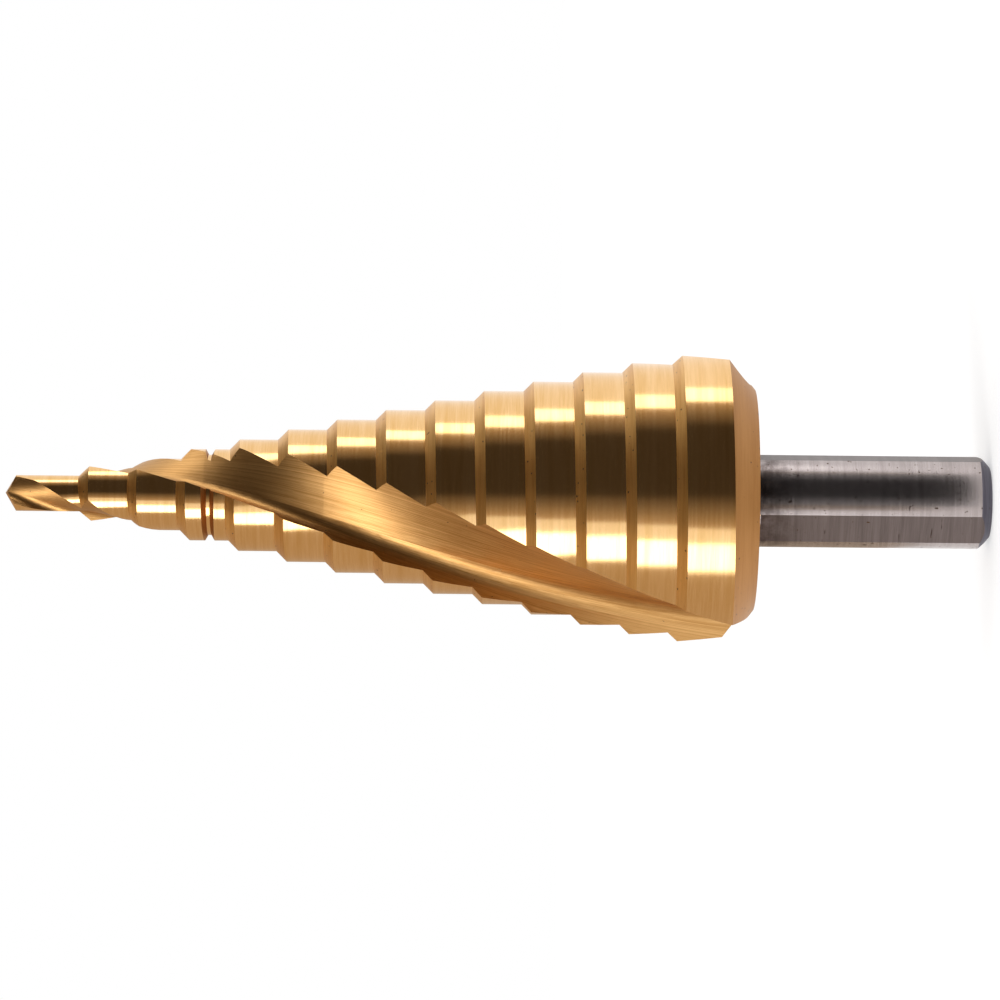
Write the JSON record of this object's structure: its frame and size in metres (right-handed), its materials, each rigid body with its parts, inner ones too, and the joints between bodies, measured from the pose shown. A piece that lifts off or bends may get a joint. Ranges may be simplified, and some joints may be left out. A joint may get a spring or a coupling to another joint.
{
  "type": "step drill",
  "caption": "Stepped cone drill with helical flutes, a pilot point and a round shank with chuck flats, gold-coloured coating on the head.",
  "frame": {"origin": "centre of the shank's end face, which the drill stands on", "axes": "+Z along the drill's axis from the shank to the point; a flat on the shank faces 9.4 degrees clockwise from +X"},
  "size_m": [0.0294, 0.0296, 0.1012],
  "materials": {
    "coated_steel": "satin titanium nitride over ground high-speed steel, with the shank left bare"
  },
  "bodies": {
    "root": {"step_drill": "coated_steel"}
  },
  "joints": []
}
